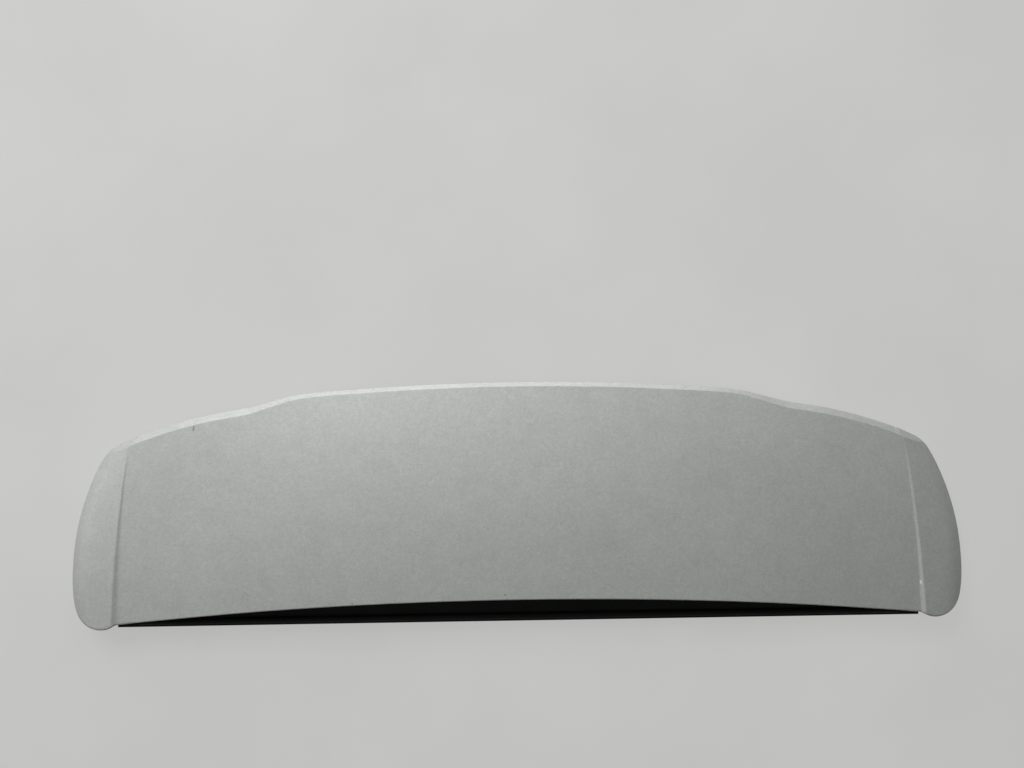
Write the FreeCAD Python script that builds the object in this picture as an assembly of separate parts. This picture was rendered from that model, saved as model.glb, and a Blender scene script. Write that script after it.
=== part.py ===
"""Tailgate spoiler: painted outer skin bonded to a black inner carrier, with its fixings and seals.

Frame: +X to the right, +Y rearward towards the trailing edge, +Z up out of the painted face. The origin is
the centre of the outer stud pattern, on the plane where the stud towers seat. Millimetres.
Shapes are drawn with y counted from the line across the front ends of the ear creases, then moved to the
origin on export.
"""
import FreeCAD, Part
import math
import os

Vector = FreeCAD.Vector

# Plan outline: the leading edge runs to a notch at each ear, whose foot reaches a little further forward
half_width = 599.0
lead_centre_y = 34.0
lead_radius = 4450.0
notch_run = 45.0
foot_inset = 48.0
foot_reach = 6.2
foot_dip = 30.0
foot_fullness = 0.58
side_radius = 300.0
side_centre_y = 80.0
side_front_y = 31.0
side_rear_y = 211.0
corner_inset = 59.0
corner_fullness = 0.68

# Trailing edge: a shallow arc, a step down on each side, then falling shoulders
trail_centre_y = 314.5
trail_radius = 3450.0
step_start_x = 284.0
step_end_x = 376.0
step_drop = 11.0
shoulder_inset = 239.0
shoulder_radius = 715.0

# Painted surface
crest_height = 60.0
crown_drop = 34.0
crown_inset = 59.0
panel_slope = 3.0
bow_drop = 5.0
bow_centre_y = 130.0
bow_half_length = 150.0

# Ears: raised by a step that dies out rearward, rolled down along their outer edge
crease_front_inset = 67.0
crease_rear_inset = 76.5
crease_length = 235.0
ear_rise = 5.0
ear_rise_length = 260.0
ear_step_angle = 45.0
ear_fall_front = 0.04
ear_fall_rear = 0.12
ear_roll_width = 20.0
ear_roll_depth = 6.0

# Bevel round the painted edge: narrow in front and at the sides, a wide facet along the trailing edge
edge_break = 1.0
facet_end_y = 224.0
band_centre_width = 5.8
band_shoulder_width = 9.2
band_slope = 45.0

# Skin section
wall = 3.0
lead_skirt = 13.0
trail_skirt = 24.0
ear_rim_level = -18.0
ear_rim_setback = 5.0
ear_rim_run = 22.0

# Carrier
carrier_wall = 2.5
bond_gap = 0.4
seat_standoff = 6.0
carrier_ear_drop = 8.0
carrier_ear_run = 20.0
carrier_rear_depth = 21.0
carrier_rise_y = 140.0
flange_reach = 8.0
flange_end_reach = 7.5

# Studs and towers
stud_x = 400.0
stud_inner_x = 130.0
stud_front_y = 38.0
stud_rear_y = 98.0
stud_radius = 3.0
stud_length = 15.0
stud_pilot_radius = 2.2
stud_pilot_length = 2.0
stud_head_width = 14.0
stud_head_thickness = 2.5
stud_head_play = 0.1
tower_width = 24.0
tower_shoulder_width = 32.0
tower_shoulder_height = 3.0
gasket_play = 0.2
gasket_thickness = 5.0

# Locating dowels
dowel_x = 265.0
dowel_radius = 4.0
dowel_boss_radius = 9.0
dowel_boss_drop = 4.0
dowel_length = 14.0
dowel_pilot_radius = 2.8
dowel_pilot_length = 3.0

# Push-in clips under the front flange
clip_inner_x = 60.0
clip_outer_x = 300.0
clip_y = 20.0
clip_seat_length = 26.0
clip_seat_depth = 18.0
clip_seat_drop = 4.0
clip_head_length = 18.0
clip_head_depth = 12.0
clip_head_thickness = 2.0
clip_stem_width = 5.0
clip_barb_width = 9.0
clip_barb_pitch = 3.5
clip_barbs = 3
clip_thickness = 6.0

# Ribs and drain slots of the carrier
rib_pitch = 65.0
rib_thickness = 2.2
rib_drop = 5.0
rib_front_y = 46.0
rib_rear_y = 126.0
rib_clearance = 4.0
drain_inner_x = 150.0
drain_outer_x = 380.0
drain_y = 218.0
drain_length = 24.0
drain_width = 5.0

# Seal on the flange, pads in the ears
seal_end_gap = 30.0
seal_width = 8.0
seal_height = 6.0
seal_setback = 3.0
pad_end_gap = 3.0
pad_width = 22.0
pad_front_y = 52.0
pad_rear_y = 112.0
pad_thickness = 6.0

# Spacing of the stations that the curved faces are drawn through, and how far tools reach past the part
lead_pitch = 100.0
trail_pitch = 71.0
step_pitch = 15.0
shoulder_pitch = 36.0
foot_points = 3
ear_corner_points = 4
side_points = 4
corner_points = 5
ear_pitch = 12.0
along_pitch = 45.0
band_pitch = 14.0
overrun = 40.0
cut_reach = 5.0
below_all = -80.0
above_all = 140.0

crease_front_x = half_width - crease_front_inset
crease_rear_x = half_width - crease_rear_inset
corner_x = half_width - corner_inset
shoulder_x = half_width - shoulder_inset
crown_half_width = half_width - crown_inset
flange_half_width = crease_front_x + flange_end_reach
carrier_ear_x = flange_half_width + carrier_ear_run
pad_inner_x = carrier_ear_x + pad_end_gap
seal_half_length = flange_half_width - seal_end_gap
stud_centre_y = (stud_front_y + stud_rear_y) / 2
carrier_rear_y = trail_centre_y + cut_reach


def smooth(t):
    t = min(max(t, 0.0), 1.0)
    return t * t * (3.0 - 2.0 * t)


def spread(start, end, step):
    """Even stations from start towards end, about a step apart, without the end."""
    count = max(1, round(abs(end - start) / step))
    return [start + (end - start) * i / count for i in range(count)]


def stretch(start, end, step):
    """Even stations from start to end, both included."""
    return spread(start, end, step) + [end]


def lead_y(x):
    return lead_centre_y - x * x / (2 * lead_radius)


flange_front_y = lead_y(crease_front_x) - flange_reach


def trail_y(x):
    x = abs(x)
    step = step_drop * smooth((x - step_start_x) / (step_end_x - step_start_x))
    shoulder = max(0.0, x - shoulder_x) ** 2 / (2 * shoulder_radius)
    return trail_centre_y - x * x / (2 * trail_radius) - step - shoulder


def side_x(y):
    return half_width - side_radius + math.sqrt(side_radius ** 2 - (y - side_centre_y) ** 2)


def slope_of(function, at):
    return function(at + 0.5) - function(at - 0.5)


def meet(p, dp, q, dq):
    """Point where the line from p along dp crosses the line from q along dq."""
    cross = dp.x * dq.y - dp.y * dq.x
    t = ((q.x - p.x) * dq.y - (q.y - p.y) * dq.x) / cross
    return p + dp * t


def blend(p, hp, hq, q, count):
    """Points along the cubic from p to q with handles hp and hq, without p itself."""
    points = []
    for i in range(1, count + 1):
        t = i / count
        s = 1 - t
        points.append(p * s ** 3 + hp * (3 * s * s * t) + hq * (3 * s * t * t) + q * t ** 3)
    return points


def right_half():
    """Outline points from the middle of the leading edge, round the right ear, to the trailing middle."""
    stations = spread(0, crease_front_x - notch_run, lead_pitch)
    stations += [crease_front_x - notch_run / 3 ** i for i in range(3)] + [crease_front_x]
    points = [Vector(x, lead_y(x), 0) for x in stations]

    notch = points[-1]
    foot = Vector(half_width - foot_inset, notch.y - foot_reach, 0)
    reach = (foot.x - notch.x) / 3
    dip = Vector(reach, -reach * math.tan(math.radians(foot_dip)), 0)
    points += blend(notch, notch + dip, foot - Vector(reach, 0, 0), foot, foot_points)

    side_front = Vector(side_x(side_front_y), side_front_y, 0)
    lean = Vector(slope_of(side_x, side_front_y), 1, 0)
    knee = meet(foot, Vector(1, 0, 0), side_front, lean)
    points += blend(foot, foot + (knee - foot) * foot_fullness,
                    side_front + (knee - side_front) * foot_fullness, side_front, ear_corner_points)

    for i in range(1, side_points + 1):
        y = side_front_y + (side_rear_y - side_front_y) * i / side_points
        points.append(Vector(side_x(y), y, 0))

    side_rear = points[-1]
    shoulder = Vector(corner_x, trail_y(corner_x), 0)
    knee = meet(side_rear, Vector(slope_of(side_x, side_rear_y), 1, 0),
                shoulder, Vector(1, slope_of(trail_y, corner_x), 0))
    points += blend(side_rear, side_rear + (knee - side_rear) * corner_fullness,
                    shoulder + (knee - shoulder) * corner_fullness, shoulder, corner_points)

    stations = spread(corner_x, step_end_x, shoulder_pitch) + spread(step_end_x, step_start_x, step_pitch)
    stations += stretch(step_start_x, 0, trail_pitch)
    points += [Vector(x, trail_y(x), 0) for x in stations[1:]]
    return points


def half_curve(points, parameters=None):
    """Curve through the points, square to the middle plane at both ends."""
    curve = Part.BSplineCurve()
    ends = {"InitialTangent": Vector(1, 0, 0), "FinalTangent": Vector(-1, 0, 0)}
    if parameters:
        ends["Parameters"] = parameters
    curve.interpolate(Points=points, **ends)
    return curve


outline = half_curve(right_half())


def inset_prism(inset):
    """Upright prism over the right half of the plan outline moved inward by inset."""
    points = []
    for knot in outline.getKnots():
        tangent = outline.tangent(knot)[0]
        points.append(outline.value(knot) + Vector(-tangent.y, tangent.x, 0) * inset)
    points[0].x = 0
    points[-1].x = 0
    edge = half_curve(points, outline.getKnots()).toShape()
    face = Part.Face(Part.Wire([edge, Part.makeLine(points[-1], points[0])]))
    face.translate(Vector(0, 0, below_all))
    return face.extrude(Vector(0, 0, above_all - below_all)).toNurbs()


def in_middle(face):
    return all(abs(v.X) < 0.001 for v in face.Vertexes) and abs(face.CenterOfMass.x) < 0.001


def both_sides(half):
    """The right half and its mirror image joined across the middle into one solid."""
    faces = [f for f in half.Faces if not in_middle(f)]
    faces += [f.mirror(Vector(0, 0, 0), Vector(1, 0, 0)) for f in faces]
    shell = Part.makeShell(faces)
    shell.sewShape()
    solid = Part.makeSolid(shell)
    solid.fix(0.001, 0.001, 0.001)
    return solid


def crease_x(y):
    return crease_front_x + (crease_rear_x - crease_front_x) * y / crease_length


def panel_z(x, y):
    """The painted panel without its ears."""
    crown = crown_drop * (x / crown_half_width) ** 2
    bow = bow_drop * ((y - bow_centre_y) / bow_half_length) ** 2
    fall = math.tan(math.radians(panel_slope)) * (y - bow_centre_y)
    return crest_height - crown - bow - fall


def ear_fall(y):
    """Slope of the ear away from its crease."""
    return ear_fall_front + (ear_fall_rear - ear_fall_front) * y / crease_length


def ear_roll(x, y):
    """How far the ear's outer edge is rolled down."""
    if abs(x) < crease_rear_x:
        return 0.0
    from_edge = side_radius - math.hypot(abs(x) - half_width + side_radius, y - side_centre_y)
    return ear_roll_depth * max(0.0, 1.0 - from_edge / ear_roll_width) ** 2


def ear_z(x, y):
    """Painted top of the ears; carried on inboard of the crease it stays above the panel."""
    rise = ear_rise * (1.0 - y / ear_rise_length)
    return under_ear_z(x, y) + rise


def under_ear_z(x, y):
    """The ears without their step."""
    return panel_z(x, y) - ear_fall(y) * (abs(x) - crease_x(y)) - ear_roll(x, y)


def skirt_z(x, y):
    """Lower edge of the skin along the panel."""
    part_way = (y - lead_centre_y) / (trail_centre_y - lead_centre_y)
    return panel_z(x, y) - lead_skirt - (trail_skirt - lead_skirt) * part_way


def tray_seat_z(x):
    """Underside of the carrier over the studs: level, then sloping down to a lower level inside the ears."""
    part_way = min(max((x - flange_half_width) / carrier_ear_run, 0.0), 1.0)
    return seat_standoff - carrier_ear_drop * part_way


def tray_rear_z(x):
    """Underside of the carrier at its rear limit, following the panel."""
    return panel_z(x, carrier_rear_y) - carrier_rear_depth


def knot_line(values):
    return [values[0]] * 3 + values + [values[-1]] * 3


def past_middle(across):
    """Stations from the middle outward, continued evenly past the middle."""
    return [-u for u in reversed(across[1:4])] + across


def surface(height, across, along):
    """Smooth sheet through the height function over stations across and along the car."""
    tu = knot_line(across)
    tv = knot_line(along)
    poles = []
    for i in range(len(across) + 2):
        x = sum(tu[i + 1:i + 4]) / 3
        row = []
        for j in range(len(along) + 2):
            y = sum(tv[j + 1:j + 4]) / 3
            row.append(Vector(x, y, height(x, y)))
        poles.append(row)
    sheet = Part.BSplineSurface()
    sheet.buildFromPolesMultsKnots(poles, [4] + [1] * (len(across) - 2) + [4],
                                   [4] + [1] * (len(along) - 2) + [4], across, along,
                                   False, False, 3, 3)
    return sheet


def three_poles(start, middle, end):
    """Poles of the parabola through three evenly spaced points."""
    return [start, middle * 2 - (start + end) * 0.5, end]


def patch(height, inner_x, outer_x):
    """Sheet of a height that is quadratic both ways, from inner_x to outer_x."""
    along = [-overrun, trail_centre_y / 2, trail_centre_y + overrun]
    across = [inner_x, (inner_x + outer_x) / 2, outer_x]
    rows = [three_poles(*[Vector(x, y, height(x, y)) for y in along]) for x in across]
    poles = zip(*[three_poles(*column) for column in zip(*rows)])
    sheet = Part.BSplineSurface()
    sheet.buildFromPolesMultsKnots([list(row) for row in poles], [3, 3], [3, 3], [0.0, 1.0], [0.0, 1.0],
                                   False, False, 2, 2)
    return sheet.toShape()


def ear_sheet(height):
    across = stretch(crease_rear_x - ear_pitch, half_width + overrun, ear_pitch)
    return surface(height, across, stretch(-overrun, trail_centre_y + overrun, along_pitch))


painted_ear = ear_sheet(ear_z)


def ear_top_z(x, y):
    """Height of the ear's sheet, carried on inboard of it."""
    return ear_z(x, y) if x < crease_rear_x else painted_ear.value(x, y).z


def painted_z(x, y):
    """Height of the painted face."""
    return panel_z(x, y) if x < crease_x(y) else ear_top_z(x, y)


def crease_foot(y):
    return Vector(crease_x(y), y, panel_z(crease_x(y), y))


def inboard_space():
    """Space inboard of the steep step between panel and ear, whose foot follows the crease."""
    run = (crease_foot(crease_length) - crease_foot(0)) * (1 / crease_length)
    start = crease_foot(0) - run * overrun
    slope = Vector(1 / math.tan(math.radians(ear_step_angle)), 0, 1) * (above_all - below_all)
    low = start - slope
    high = start + slope
    corners = [low, high, Vector(-overrun, high.y, high.z), Vector(-overrun, low.y, low.z), low]
    return Part.Face(Part.makePolygon(corners)).extrude(run * (trail_centre_y + 2 * overrun))


def linings(drop):
    """Spaces above the underside of the skin, lowered by drop."""
    panel = patch(lambda x, y: panel_z(x, y) - drop, -overrun, half_width + overrun)
    ear = ear_sheet(lambda x, y: under_ear_z(x, y) - drop).toShape()
    return [space_above(panel), space_above(ear), band_space(drop / math.cos(math.radians(band_slope)))]


def under_tray(lift):
    """Spaces below the carrier's underside, in front of and behind the line where it rises."""
    stations = [-overrun, flange_half_width, carrier_ear_x, half_width + overrun]
    seat = [Vector(x, -overrun, tray_seat_z(x) + lift) for x in stations]
    ends = [Vector(x, -overrun, below_all) for x in (stations[-1], stations[0])]
    front = Part.Face(Part.makePolygon(seat + ends + seat[:1]))
    spaces = [front.extrude(Vector(0, carrier_rise_y + overrun, 0))]
    for x0, x1 in zip(stations, stations[1:]):
        line = Part.makeLine(*[Vector(x, carrier_rise_y, tray_seat_z(x) + lift) for x in (x0, x1)])
        rear = [Vector(x, carrier_rear_y, tray_rear_z(x) + lift) for x in (x0, (x0 + x1) / 2, x1)]
        curve = Part.BezierCurve()
        curve.setPoles(three_poles(*rear))
        spaces.append(space_below(Part.makeRuledSurface(line, curve.toShape())))
    return spaces


def space_above(face):
    return face.extrude(Vector(0, 0, above_all - below_all))


def space_below(face):
    return face.extrude(Vector(0, 0, below_all - above_all))


def band_width(x):
    wider = smooth((abs(x) - step_start_x) / (step_end_x - step_start_x))
    return band_centre_width + (band_shoulder_width - band_centre_width) * wider


def bevel_width(x, y):
    """Width of the bevel at a point of the outline: the facet's, fading out round the rear corner."""
    facet = smooth((y - facet_end_y) / (trail_y(corner_x) - facet_end_y))
    return edge_break + (band_width(x) - edge_break) * facet


def band_space(drop):
    """Space above the trailing facet, lowered by drop."""
    across = past_middle(stretch(0, half_width + overrun, band_pitch))
    tu = knot_line(across)
    tilt = math.tan(math.radians(band_slope))
    poles = []
    for i in range(len(across) + 2):
        x = sum(tu[i + 1:i + 4]) / 3
        y = trail_y(x) - band_width(x)
        z = painted_z(min(abs(x), corner_x), y) - drop
        z -= crown_slope_beyond(x)
        poles.append([Vector(x, y + reach, z - reach * tilt) for reach in (-overrun, overrun)])
    sheet = Part.BSplineSurface()
    sheet.buildFromPolesMultsKnots(poles, [4] + [1] * (len(across) - 2) + [4], [2, 2],
                                   across, [0.0, 1.0], False, False, 3, 1)
    return space_above(sheet.toShape())


def edge_space(height):
    """Space above the bevel round the edge of a painted sheet of the given height."""
    tilt = math.tan(math.radians(band_slope))
    low = []
    high = []
    for knot in outline.getKnots():
        at = outline.value(knot)
        tangent = outline.tangent(knot)[0]
        inward = Vector(-tangent.y, tangent.x, 0)
        width = bevel_width(at.x, at.y)
        ring = at + inward * width
        ring.z = height(ring.x, ring.y)
        high.append(ring + (inward + Vector(0, 0, tilt)) * cut_reach)
        low.append(ring - (inward + Vector(0, 0, tilt)) * (width + cut_reach))
    edges = [half_curve(points, outline.getKnots()).toShape() for points in (low, high)]
    return space_above(Part.makeRuledSurface(*edges))


def crown_slope_beyond(x):
    """Extra fall of the facet outboard of the shoulder, where it leaves the outline."""
    beyond = max(0.0, abs(x) - corner_x)
    return beyond * 2 * crown_drop * corner_x / crown_half_width ** 2


def upright(radius, top, bottom, x, y):
    return Part.makeCylinder(radius, top - bottom, Vector(x, y, bottom))


def block(x0, x1, y0, y1, z0, z1):
    return Part.makeBox(x1 - x0, y1 - y0, z1 - z0, Vector(x0, y0, z0))


def pillar(width, depth, top, bottom, x, y):
    return block(x - width / 2, x + width / 2, y - depth / 2, y + depth / 2, bottom, top)


def mirrored_group(solids):
    """The solids and their copies on the other side, as one compound."""
    return Part.makeCompound(solids + [s.mirror(Vector(0, 0, 0), Vector(1, 0, 0)) for s in solids])


stud_places = [(stud_x, stud_front_y), (stud_x, stud_rear_y), (stud_inner_x, stud_centre_y)]
clip_places = [(clip_inner_x, clip_y), (clip_outer_x, clip_y)]


def make_skin():
    inboard = inboard_space()
    over_panel = space_above(patch(panel_z, -overrun, half_width + overrun)).common(inboard)
    shell = inset_prism(0).cut(over_panel).cut(edge_space(panel_z).common(inboard))
    shell = shell.cut(space_above(painted_ear.toShape())).cut(edge_space(ear_top_z))
    hollow = inset_prism(wall).cut(linings(wall))
    height = above_all - ear_rim_level
    rim_start_x = crease_front_x + ear_rim_setback
    ease = ear_rim_run * height / (skirt_z(rim_start_x, 0) - ear_rim_level)
    under_skirt = patch(skirt_z, -half_width, rim_start_x).extrude(Vector(ease, 0, -height))
    under_ears = block(-overrun, half_width + overrun, -overrun, trail_centre_y + overrun,
                       below_all - overrun, ear_rim_level)
    return both_sides(shell.cut(hollow).cut(under_skirt).cut(under_ears))


def make_carrier():
    gap = wall + bond_gap
    body = inset_prism(gap)
    flange = block(0, flange_half_width, flange_front_y, stud_front_y, below_all, above_all)
    shelf = flange.cut(body)
    floor = under_tray(carrier_wall)
    tray = body.fuse(flange).cut(linings(wall)).cut(under_tray(0))
    tray = tray.cut(inset_prism(gap + carrier_wall).cut(floor)).cut(shelf.cut(floor))

    hold = seat_standoff + carrier_wall / 2
    added = []
    removed = []
    for x, y in stud_places:
        added.append(pillar(tower_shoulder_width, tower_shoulder_width, hold, tower_shoulder_height, x, y))
        added.append(pillar(tower_width, tower_width, hold, 0, x, y))
        pocket = stud_head_width + 2 * stud_head_play
        removed.append(pillar(pocket, pocket, stud_head_thickness, -cut_reach, x, y))
    added.append(upright(dowel_boss_radius, hold, seat_standoff - dowel_boss_drop, dowel_x, stud_centre_y))
    added.append(upright(dowel_radius, hold, dowel_pilot_length - dowel_length, dowel_x, stud_centre_y))
    added.append(upright(dowel_pilot_radius, hold, -dowel_length, dowel_x, stud_centre_y))
    for x, y in clip_places:
        added.append(pillar(clip_seat_length, clip_seat_depth, hold, seat_standoff - clip_seat_drop, x, y))
    added += ribs(hold)
    tray = tray.fuse(added)

    for x in (drain_inner_x, drain_outer_x):
        removed.append(block(x - drain_length / 2, x + drain_length / 2, drain_y - drain_width / 2,
                             drain_y + drain_width / 2, below_all, above_all))
    return both_sides(tray.cut(removed))


def ribs(hold):
    """Fore and aft ribs under the level floor, left out where a tower, dowel or clip seat stands."""
    taken = [x for x, y in stud_places] + [dowel_x]
    keep_out = tower_shoulder_width / 2 + rib_clearance
    made = []
    for i in range(int((stud_x + rib_pitch) / rib_pitch) + 1):
        x = i * rib_pitch
        if all(abs(x - t) > keep_out for t in taken):
            made.append(block(max(0, x - rib_thickness / 2), x + rib_thickness / 2, rib_front_y, rib_rear_y,
                              seat_standoff - rib_drop, hold))
    return made


def make_studs():
    studs = []
    for x, y in stud_places:
        head = pillar(stud_head_width, stud_head_width, stud_head_thickness, 0, x, y)
        inside = stud_head_thickness / 2
        shank = upright(stud_radius, inside, -stud_length, x, y)
        pilot = upright(stud_pilot_radius, inside, -stud_length - stud_pilot_length, x, y)
        studs.append(head.fuse([shank, pilot]).removeSplitter())
    return mirrored_group(studs)


def make_gaskets():
    frames = []
    for x, y in stud_places:
        top = tower_shoulder_height
        bottom = top - gasket_thickness
        hole = tower_width + 2 * gasket_play
        frame = pillar(tower_shoulder_width, tower_shoulder_width, top, bottom, x, y)
        frames.append(frame.cut(pillar(hole, hole, top + cut_reach, bottom - cut_reach, x, y)))
    return mirrored_group(frames)


def make_clips():
    """Arrow clips: a head under each seat and a barbed blade below it."""
    clips = []
    for x, y in clip_places:
        top = seat_standoff - clip_seat_drop
        head = pillar(clip_head_length, clip_head_depth, top, top - clip_head_thickness, x, y)
        z = top - clip_head_thickness - clip_barb_pitch / 2
        right = [(clip_stem_width / 2, top - clip_head_thickness / 2), (clip_stem_width / 2, z)]
        for i in range(clip_barbs):
            right += [(clip_barb_width / 2, z), (clip_stem_width / 2, z - clip_barb_pitch)]
            z -= clip_barb_pitch
        right.append((clip_stem_width / 4, z - clip_barb_pitch / 3))
        points = [Vector(x + r, y - clip_thickness / 2, z) for r, z in right]
        points += [Vector(x - r, y - clip_thickness / 2, z) for r, z in reversed(right)]
        blade = Part.Face(Part.makePolygon(points + points[:1])).extrude(Vector(0, clip_thickness, 0))
        clips.append(head.fuse(blade).removeSplitter())
    return mirrored_group(clips)


def make_seal():
    y0 = flange_front_y + seal_setback
    z0 = seat_standoff + carrier_wall
    foot = Vector(-seal_half_length, y0, z0)
    heel = Vector(-seal_half_length, y0 + seal_width, z0)
    rise = seal_height - seal_width / 2
    arc = Part.Arc(heel + Vector(0, 0, rise), Vector(-seal_half_length, y0 + seal_width / 2, z0 + seal_height),
                   foot + Vector(0, 0, rise))
    profile = Part.Wire([Part.makeLine(foot, heel), Part.makeLine(heel, heel + Vector(0, 0, rise)),
                         arc.toShape(), Part.makeLine(foot + Vector(0, 0, rise), foot)])
    return Part.Face(profile).extrude(Vector(2 * seal_half_length, 0, 0))


def make_pad():
    level = seat_standoff - carrier_ear_drop
    return block(pad_inner_x, pad_inner_x + pad_width, pad_front_y, pad_rear_y, level - pad_thickness, level)


def export(shape, node):
    shape.translate(Vector(0, -stud_centre_y, 0))
    shape.exportStep("parts/" + node + ".step")


os.makedirs("parts", exist_ok=True)
export(make_skin(), "outer_skin")
export(make_carrier(), "inner_carrier")
export(make_studs(), "mounting_studs")
export(make_gaskets(), "stud_gaskets")
export(make_clips(), "push_clips")
export(make_seal(), "front_seal")
right_pad = make_pad()
left_pad = right_pad.mirror(Vector(0, 0, 0), Vector(1, 0, 0))
export(left_pad, "left_ear_pad")
export(right_pad, "right_ear_pad")
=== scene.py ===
"""Looks of the tailgate spoiler: paint, plastic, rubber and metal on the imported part, lying painted face up.

Lengths are in metres, powers in watts, angles in degrees and colours in sRGB from 0 to 255.
"""
import math

import bpy
from mathutils import Matrix, Vector


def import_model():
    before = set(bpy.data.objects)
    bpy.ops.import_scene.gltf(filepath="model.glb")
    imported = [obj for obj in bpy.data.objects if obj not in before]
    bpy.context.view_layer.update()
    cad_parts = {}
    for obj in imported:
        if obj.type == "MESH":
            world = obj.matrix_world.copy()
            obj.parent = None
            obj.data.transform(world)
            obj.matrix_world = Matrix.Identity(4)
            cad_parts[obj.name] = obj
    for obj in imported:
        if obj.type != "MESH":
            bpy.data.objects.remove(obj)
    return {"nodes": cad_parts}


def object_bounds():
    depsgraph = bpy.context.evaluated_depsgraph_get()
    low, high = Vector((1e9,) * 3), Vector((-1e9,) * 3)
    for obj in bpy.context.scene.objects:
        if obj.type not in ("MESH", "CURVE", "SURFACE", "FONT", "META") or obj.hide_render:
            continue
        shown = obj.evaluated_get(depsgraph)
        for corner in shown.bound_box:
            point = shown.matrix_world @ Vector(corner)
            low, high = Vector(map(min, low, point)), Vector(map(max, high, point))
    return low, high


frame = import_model()
low0, high0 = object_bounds()
nodes = frame["nodes"]

# Paint: tone, and its layers of grain as noise scale, noise detail and reach
PAINT_TONE = (172, 175, 172)
PAINT_GRAIN = ((560.0, 1.0, 0.21), (170.0, 2.0, 0.12), (40.0, 2.0, 0.07))
CLOUD_SCALE = 6.0
CLOUD_REACH = 0.07

# Soft edges: rounding all over the skin, and what is added on the ears outboard of x and ahead of y
EDGE_ROUND = 0.0008
EAR_ROUND = 0.0034
EAR_X = (0.5, 0.515)
EAR_Y = (0.13, 0.16)

# Marks on the paint: place in x and y, half sizes, and factor on the tone. All are wear and dirt except the
# last, which is a painted highlight for a glint on the right ear's crease
WEAR_AND_PAINTED_GLINT = (
    ((-0.4332, 0.1906), (0.0022, 0.0058), 0.62),
    ((-0.3600, -0.0275), (0.0030, 0.0026), 0.86),
    ((-0.3570, -0.0235), (0.0050, 0.0030), 0.92),
    ((-0.3520, -0.0262), (0.0060, 0.0022), 0.94),
    ((-0.3868, -0.0049), (0.0075, 0.0050), 0.95),
    ((-0.2174, -0.0365), (0.0014, 0.0022), 0.45),
    ((-0.0210, -0.0270), (0.0022, 0.0022), 0.70),
    # painted highlight: a lighter spot in the base colour where a glint sits on the right ear's crease
    ((0.5325, -0.0262), (0.0016, 0.0040), 1.7),
)

# Studio: floor, backdrop and world
FLOOR_Z = low0.z
FLOOR_SIZE = 30.0
FLOOR_TONES = ((206, 206, 204), (210, 210, 208))
FLOOR_EVEN_SHARE = 0.75
BACKDROP_TONE = (204, 204, 202)
WORLD_LIGHT = 0.02

# Lamps: name, place, aim, width and height, power
PANEL = (0.0, 0.1, 0.0)
LAMPS = (
    ("high left", (-0.7, 1.2, 1.5), PANEL, (1.0, 0.8), 17.6),
    ("high right", (0.7, 1.2, 1.5), PANEL, (1.0, 0.8), 5.2),
    ("low back", (-0.4, 1.5, 0.75), PANEL, (1.6, 1.1), 4.6),
    ("left side", (-1.8, 0.3, 0.6), PANEL, (0.8, 0.8), 4.0),
)
RIM_LAMP = ("rim", (-0.35, 1.75, 0.38), (0.0, 0.1, 0.03), (2.6, 0.7), 22.0)

# Camera: looks down on the painted face, turned about x, y and z in that order
LENS_MM = 27.07
SENSOR_MM = 36.0
CAMERA_PLACE = (-0.0219, 0.1941, 1.0605)
CAMERA_TURN = (2.8, -0.761, -0.724)


def linear(srgb):
    return tuple((v / 255 / 12.92) if v <= 10 else ((v / 255 + 0.055) / 1.055) ** 2.4 for v in srgb)


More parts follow.
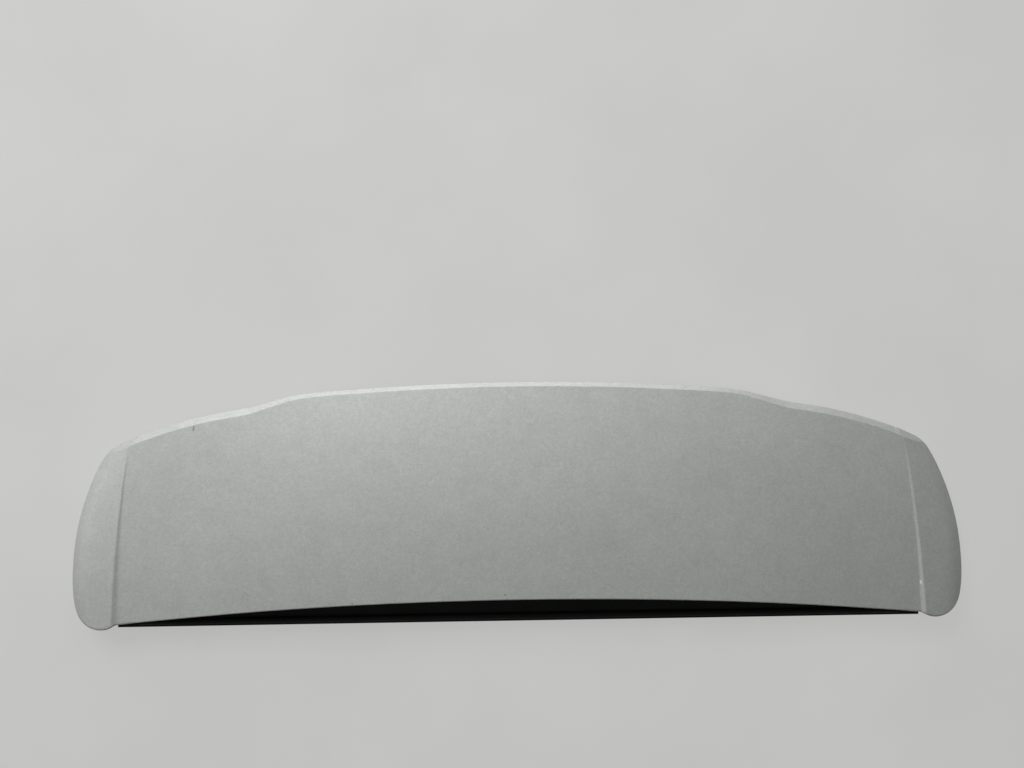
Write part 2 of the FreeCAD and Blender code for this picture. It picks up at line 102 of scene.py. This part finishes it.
class Shader:
    """A material's node tree with short calls for adding and joining nodes."""

    def __init__(self, name):
        self.material = bpy.data.materials.new(name)
        self.material.use_nodes = True
        self.tree = self.material.node_tree
        self.bsdf = self.tree.nodes["Principled BSDF"]
        self.where = self.add("ShaderNodeTexCoord").outputs["Object"]

    def add(self, kind, **settings):
        node = self.tree.nodes.new(kind)
        for key, value in settings.items():
            setattr(node, key, value)
        return node

    def put(self, socket, value):
        """Join a socket to another one, or set its value."""
        if isinstance(value, bpy.types.NodeSocket):
            self.tree.links.new(value, socket)
        else:
            socket.default_value = value

    def set(self, **values):
        """Set the surface shader's inputs, with _ for a space in their names."""
        for key, value in values.items():
            self.put(self.bsdf.inputs[key.replace("_", " ")], value)

    def math(self, operation, a, b=0.0, c=0.0):
        node = self.add("ShaderNodeMath", operation=operation)
        for i, value in enumerate((a, b, c)):
            self.put(node.inputs[i], value)
        return node.outputs[0]

    def noise(self, scale, detail=3.0, roughness=0.55):
        node = self.add("ShaderNodeTexNoise")
        self.put(node.inputs["Vector"], self.where)
        node.inputs["Scale"].default_value = scale
        node.inputs["Detail"].default_value = detail
        node.inputs["Roughness"].default_value = roughness
        return node.outputs["Fac"]

    def ramp(self, value, start, end, low=0.0, high=1.0):
        """Smooth change from low to high while the value goes from start to end."""
        node = self.add("ShaderNodeMapRange", interpolation_type="SMOOTHSTEP")
        names = ("Value", "From Min", "From Max", "To Min", "To Max")
        for key, given in zip(names, (value, start, end, low, high)):
            self.put(node.inputs[key], given)
        return node.outputs[0]

    def mix(self, share, a, b):
        """Mix of two colours."""
        node = self.add("ShaderNodeMix", data_type="RGBA")
        self.put(node.inputs[0], share)
        node.inputs[6].default_value = (*a, 1.0)
        node.inputs[7].default_value = (*b, 1.0)
        return node.outputs[2]

    def scaled(self, colour, by):
        node = self.add("ShaderNodeVectorMath", operation="SCALE")
        node.inputs[0].default_value = colour
        self.put(node.inputs["Scale"], by)
        return node.outputs[0]

    def sway(self, noise, reach):
        """Noise as a factor around 1."""
        return self.math("MULTIPLY_ADD", noise, 2 * reach, 1.0 - reach)

    def spot(self, place, half_sizes):
        """Share that is 1 around a place on the part, seen from above, and 0 beyond the half sizes."""
        shift = self.add("ShaderNodeVectorMath", operation="SUBTRACT")
        self.put(shift.inputs[0], self.where)
        shift.inputs[1].default_value = (*place, 0.0)
        flat = self.add("ShaderNodeVectorMath", operation="MULTIPLY")
        self.put(flat.inputs[0], shift.outputs[0])
        flat.inputs[1].default_value = (1 / half_sizes[0], 1 / half_sizes[1], 0.0)
        far = self.add("ShaderNodeVectorMath", operation="LENGTH")
        self.put(far.inputs[0], flat.outputs[0])
        return self.ramp(far.outputs["Value"], 0.35, 1.0, 1.0, 0.0)

    def bump(self, height, distance, strength):
        node = self.add("ShaderNodeBump")
        self.put(node.inputs["Height"], height)
        node.inputs["Distance"].default_value = distance
        node.inputs["Strength"].default_value = strength
        return node.outputs["Normal"]


def soft_edges(s):
    """Normals rounded at the skin's edges, more so on the ears."""
    at = s.add("ShaderNodeSeparateXYZ")
    s.put(at.inputs[0], s.where)
    ear = s.ramp(s.math("ABSOLUTE", at.outputs["X"]), *EAR_X)
    ear = s.math("MULTIPLY", ear, s.ramp(at.outputs["Y"], *EAR_Y, 1.0, 0.0))
    edge = s.add("ShaderNodeBevel", samples=6)
    s.put(edge.inputs["Radius"], s.math("MULTIPLY_ADD", ear, EAR_ROUND, EDGE_ROUND))
    return edge.outputs["Normal"]


def paint():
    s = Shader("silver paint")
    cloud = s.noise(CLOUD_SCALE)
    tone = s.sway(cloud, CLOUD_REACH)
    for scale, detail, reach in PAINT_GRAIN:
        tone = s.math("MULTIPLY", tone, s.sway(s.noise(scale, detail), reach))
    # wear and dirt marks darken the tone; the last mark is a painted highlight that lightens it
    for place, half_sizes, factor in WEAR_AND_PAINTED_GLINT:
        tone = s.math("MULTIPLY", tone, s.ramp(s.spot(place, half_sizes), 0.0, 1.0, 1.0, factor))
    s.set(Base_Color=s.scaled(linear(PAINT_TONE), tone), Metallic=0.2)
    s.set(Roughness=s.ramp(cloud, 0.3, 0.7, 0.50, 0.58), Coat_Weight=0.15, Coat_Roughness=0.3)
    s.set(Normal=soft_edges(s))
    return s.material


def plastic(name, tone, grain, rough, gloss=0.5):
    """Moulded or foamed plastic: patches of tone and roughness under a fine grain."""
    s = Shader(name)
    base = linear(tone)
    lighter = tuple(c * 1.5 + 0.002 for c in base)
    patch = s.noise(30.0, 4.0)
    s.set(Base_Color=s.mix(s.ramp(patch, 0.35, 0.7), base, lighter), Specular_IOR_Level=gloss)
    s.set(Roughness=s.ramp(patch, 0.3, 0.7, rough - 0.06, rough + 0.06))
    s.set(Normal=s.bump(s.noise(grain, 2.0), distance=0.0002, strength=0.35))
    return s.material


def metal():
    s = Shader("zinc plate")
    patch = s.noise(160.0, 4.0)
    s.set(Base_Color=s.mix(s.ramp(patch, 0.3, 0.7), (0.52, 0.52, 0.5), (0.66, 0.66, 0.62)), Metallic=1.0)
    s.set(Roughness=s.ramp(patch, 0.3, 0.7, 0.28, 0.42))
    return s.material


def seen(tree):
    """1 to the eye, to reflections and through glass, and 0 where a surface only lights other things."""
    path = tree.nodes.new("ShaderNodeLightPath")
    share = path.outputs["Is Camera Ray"]
    for kind in ("Is Glossy Ray", "Is Transmission Ray"):
        either = tree.nodes.new("ShaderNodeMath")
        either.operation = "MAXIMUM"
        tree.links.new(share, either.inputs[0])
        tree.links.new(path.outputs[kind], either.inputs[1])
        share = either.outputs[0]
    return share


def floor():
    """Plain pale floor: mostly an even tone where it is seen, with the part's shadow in the rest."""
    s = Shader("floor")
    pale = s.mix(s.ramp(s.noise(3.0), 0.3, 0.7), *map(linear, FLOOR_TONES))
    s.set(Base_Color=pale, Roughness=0.8, Specular_IOR_Level=0.0)
    even = s.add("ShaderNodeEmission")
    s.put(even.inputs["Color"], pale)
    blend = s.add("ShaderNodeMixShader")
    s.put(blend.inputs[0], s.math("MULTIPLY", seen(s.tree), FLOOR_EVEN_SHARE))
    s.put(blend.inputs[1], s.bsdf.outputs[0])
    s.put(blend.inputs[2], even.outputs[0])
    s.put(s.tree.nodes["Material Output"].inputs["Surface"], blend.outputs[0])
    bpy.ops.mesh.primitive_plane_add(size=FLOOR_SIZE, location=(0, 0, FLOOR_Z))
    plane = bpy.context.object
    plane.name = "floor"
    plane.data.materials.append(s.material)


def area_light(name, place, aim, size, power):
    data = bpy.data.lights.new(name, "AREA")
    data.shape = "RECTANGLE"
    data.size, data.size_y = size
    data.energy = power
    lamp = bpy.data.objects.new(name, data)
    lamp.location = place
    lamp.rotation_euler = (Vector(aim) - Vector(place)).to_track_quat("-Z", "Y").to_euler()
    lamp.visible_camera = False
    bpy.context.collection.objects.link(lamp)
    return lamp


def light_part_alone(lamp):
    """Keep a low lamp's light off the floor."""
    lit = bpy.data.collections.new("lit by the rim light")
    for node in nodes.values():
        lit.objects.link(node)
    lamp.light_linking.receiver_collection = lit


def world():
    """Weak even light, and a pale backdrop where it is seen."""
    studio = bpy.data.worlds.new("studio")
    studio.use_nodes = True
    tree = studio.node_tree
    soft = tree.nodes["Background"]
    soft.inputs["Color"].default_value = (1.0, 1.0, 1.0, 1.0)
    soft.inputs["Strength"].default_value = WORLD_LIGHT
    pale = tree.nodes.new("ShaderNodeBackground")
    pale.inputs["Color"].default_value = (*linear(BACKDROP_TONE), 1.0)
    blend = tree.nodes.new("ShaderNodeMixShader")
    tree.links.new(seen(tree), blend.inputs[0])
    tree.links.new(soft.outputs[0], blend.inputs[1])
    tree.links.new(pale.outputs[0], blend.inputs[2])
    tree.links.new(blend.outputs[0], tree.nodes["World Output"].inputs["Surface"])
    return studio


def camera():
    lens = bpy.data.cameras.new("camera")
    lens.sensor_width = SENSOR_MM
    lens.lens = LENS_MM
    eye = bpy.data.objects.new("camera", lens)
    turn = Matrix.Identity(3)
    for angle, axis in zip(CAMERA_TURN, "XYZ"):
        turn = turn @ Matrix.Rotation(math.radians(angle), 3, axis)
    eye.rotation_euler = turn.to_euler()
    eye.location = CAMERA_PLACE
    bpy.context.collection.objects.link(eye)
    return eye


finish = {
    "outer_skin": paint(),
    "inner_carrier": plastic("carrier plastic", (15, 15, 15), grain=900.0, rough=0.55, gloss=0.1),
    "mounting_studs": metal(),
    "stud_gaskets": plastic("foam", (34, 34, 34), grain=1500.0, rough=0.9),
    "push_clips": plastic("nylon", (214, 210, 198), grain=700.0, rough=0.45),
    "front_seal": plastic("rubber", (14, 14, 14), grain=1200.0, rough=0.7, gloss=0.1),
    "left_ear_pad": plastic("pad foam left", (34, 34, 34), grain=1500.0, rough=0.9),
    "right_ear_pad": plastic("pad foam right", (34, 34, 34), grain=1500.0, rough=0.9),
}
for name, node in nodes.items():
    node.data.materials.clear()
    node.data.materials.append(finish[name])

floor()
for lamp in LAMPS:
    area_light(*lamp)
light_part_alone(area_light(*RIM_LAMP))

scene = bpy.context.scene
scene.world = world()
scene.camera = camera()
scene.view_settings.view_transform = "Standard"
